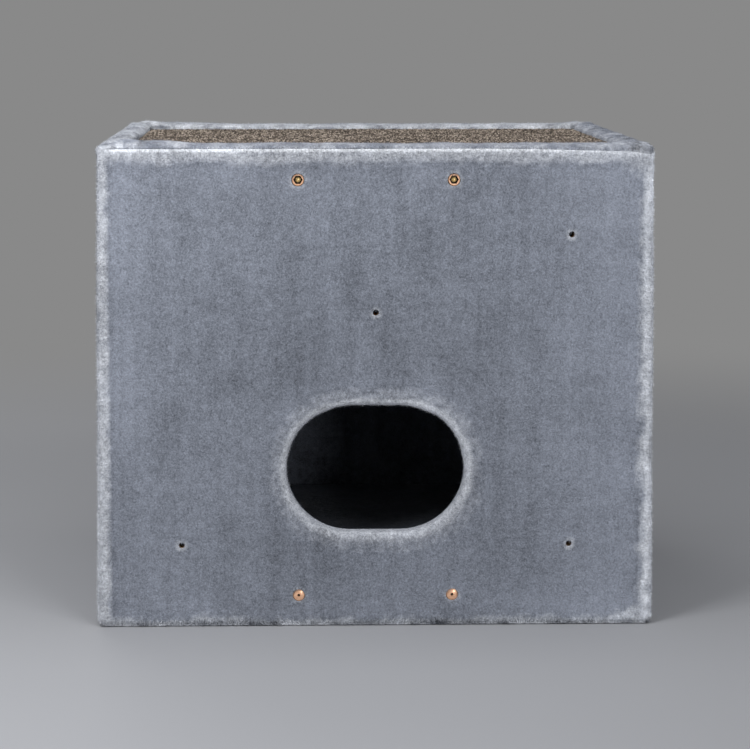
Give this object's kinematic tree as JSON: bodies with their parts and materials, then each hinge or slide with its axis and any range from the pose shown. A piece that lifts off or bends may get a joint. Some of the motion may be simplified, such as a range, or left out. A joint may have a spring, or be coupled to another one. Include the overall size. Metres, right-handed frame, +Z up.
{
  "type": "cat condo",
  "caption": "Plush-covered box of boards for a cat, with a wide round-ended entrance low in the front and a recessed sisal scratching mat inside a rolled rim on top.",
  "frame": {"origin": "bottom centre of the box, on the ground", "axes": "+X to the right seen from the front, +Y from the front to the back, +Z up"},
  "size_m": [0.6, 0.5, 0.526],
  "materials": {
    "plush": "short brushed pile, grey-blue",
    "lining": "short pile, grey-blue",
    "sisal": "woven loops, heathered brown",
    "board": "raw chipboard",
    "batten": "planed softwood",
    "copper": "copper plated",
    "yellow_steel": "yellow passivated",
    "steel": "zinc plated"
  },
  "bodies": {
    "root": {"front_panel": "board", "back_panel": "board", "left_panel": "board", "right_panel": "board", "top_panel": "board", "floor_panel": "board", "upper_front_batten": "batten", "upper_back_batten": "batten", "upper_left_batten": "batten", "upper_right_batten": "batten", "lower_front_batten": "batten", "lower_back_batten": "batten", "lower_left_batten": "batten", "lower_right_batten": "batten", "front_cover": "plush", "back_cover": "plush", "left_cover": "plush", "right_cover": "plush", "entrance_lip": "plush", "front_rim": "plush", "back_rim": "plush", "left_rim": "plush", "right_rim": "plush", "front_hem": "plush", "back_hem": "plush", "left_hem": "plush", "right_hem": "plush", "front_lining": "lining", "back_lining": "lining", "left_lining": "lining", "right_lining": "lining", "floor_cover": "lining", "scratch_mat": "sisal", "upper_inserts": "copper", "upper_bolts": "yellow_steel", "upper_washers": "steel", "lower_bolts": "copper", "lower_nuts": "steel", "front_carcass_screws": "yellow_steel", "back_carcass_screws": "yellow_steel", "back_batten_screws": "yellow_steel", "side_batten_screws": "yellow_steel", "top_screws": "yellow_steel"}
  },
  "joints": []
}
